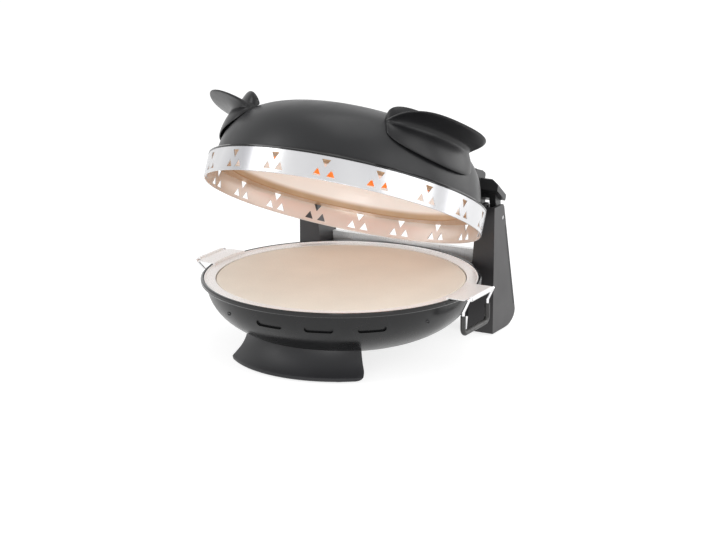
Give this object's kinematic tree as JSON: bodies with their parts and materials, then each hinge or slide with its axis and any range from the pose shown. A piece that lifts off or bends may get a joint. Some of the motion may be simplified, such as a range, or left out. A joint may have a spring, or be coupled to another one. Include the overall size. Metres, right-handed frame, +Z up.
{
  "type": "electric pizza maker",
  "caption": "Countertop electric pizza maker: a round bowl with a baking stone on a tray with bails, and a domed lid with ear handles hinged on two rear posts.",
  "frame": {"origin": "on the table, under the middle of the whole object's box", "axes": "+Z up, the front with the foot towards -Y, the two posts towards +Y, +X to the right seen from the front"},
  "size_m": [0.4044, 0.3935, 0.3358],
  "materials": {
    "arm_plastic": "satin black moulding",
    "bail_chrome": "chromed wire",
    "bail_sleeve": "satin black sleeve",
    "band_steel": "polished stainless steel",
    "base_plastic": "matt black moulding",
    "bowl_shell": "satin charcoal heat-resistant moulding",
    "bridge_steel": "polished steel",
    "clip_steel": "plain plated steel",
    "cover_plastic": "satin black moulding",
    "dome_plastic": "satin charcoal",
    "ear_plastic": "satin black moulding",
    "element": "heat-darkened sheathed element",
    "element_hot": "sheathed element glowing orange",
    "foot_plastic": "satin charcoal moulding",
    "fuse_ceramic": "ceramic and steel bracket",
    "insulation": "glass-fibre blanket",
    "knob_plastic": "satin black",
    "ledge_steel": "heat-tinted steel",
    "liner_enamel": "cream heat-reflecting enamel",
    "post_plastic": "satin charcoal moulding",
    "reflector_steel": "bright aluminised steel",
    "rim_gloss": "glossy black",
    "rubber": "matt black rubber",
    "screw_steel": "plated",
    "spindle_steel": "turned steel",
    "stone": "cream fired cordierite stone, slightly rough",
    "stud_black": "blackened screw",
    "thermostat_body": "phenolic and ceramic",
    "tray_steel": "polished steel",
    "wire_red": "silicone-insulated lead"
  },
  "bodies": {
    "base": {"bowl_shell": "bowl_shell", "bowl_rim": "rim_gloss", "lower_reflector": "reflector_steel", "lower_element": "element", "lower_element_clips": "clip_steel", "base_cover": "base_plastic", "base_cover_screws": "screw_steel", "side_screws": "stud_black", "front_foot": "foot_plastic", "front_foot_pads": "rubber", "foot_screws": "screw_steel", "left_post": "post_plastic", "right_post": "post_plastic", "left_post_cover": "cover_plastic", "right_post_cover": "cover_plastic", "post_cover_screws": "screw_steel", "rear_foot_pads": "rubber", "rear_housing": "base_plastic", "rear_housing_cover": "base_plastic", "rear_cover_screws": "screw_steel", "rear_bridge": "bridge_steel", "left_hinge_bracket": "clip_steel", "right_hinge_bracket": "clip_steel", "hinge_pins": "clip_steel", "hinge_springs": "clip_steel", "thermostat": "thermostat_body", "thermal_fuse": "fuse_ceramic", "terminal_block": "thermostat_body", "base_wiring": "wire_red", "cord_inlet": "rubber"},
    "lid": {"lid_band": "band_steel", "lid_trim_ring": "rim_gloss", "lid_dome": "dome_plastic", "lid_insulation": "insulation", "lid_liner": "liner_enamel", "ledge_ring": "ledge_steel", "upper_element": "element_hot", "upper_element_clips": "clip_steel", "left_ear": "ear_plastic", "right_ear": "ear_plastic", "ear_screws": "screw_steel", "left_hinge_arm": "arm_plastic", "right_hinge_arm": "arm_plastic", "arm_screws": "screw_steel", "lid_wiring": "wire_red"},
    "stone_tray": {"tray_pan": "tray_steel", "baking_stone": "stone"},
    "left_bail": {"left_bail_wire": "bail_chrome", "left_bail_grip": "bail_sleeve"},
    "right_bail": {"right_bail_wire": "bail_chrome", "right_bail_grip": "bail_sleeve"},
    "knob": {"control_knob": "knob_plastic", "knob_spindle": "spindle_steel"}
  },
  "joints": [
    {"name": "lid_hinge", "type": "hinge", "parent": "base", "child": "lid", "pos_m": [0, 0.15525, 0.154], "axis": [-1, 0, 0], "range_deg": [-25.5, 64.5]},
    {"name": "tray_lift", "type": "slide", "parent": "base", "child": "stone_tray", "axis": [0, 0, 1], "range_m": [0, 0.006]},
    {"name": "left_bail_swing", "type": "hinge", "parent": "stone_tray", "child": "left_bail", "pos_m": [-0.199, -0.01675, 0.0992], "axis": [0, 1, 0], "range_deg": [-2, 137]},
    {"name": "right_bail_swing", "type": "hinge", "parent": "stone_tray", "child": "right_bail", "pos_m": [0.199, -0.01675, 0.0992], "axis": [0, -1, 0], "range_deg": [-22, 115]},
    {"name": "knob_turn", "type": "hinge", "parent": "base", "child": "knob", "pos_m": [-0.157, 0.15525, 0.056], "axis": [-1, 0, 0], "range_deg": [0, 270]}
  ]
}
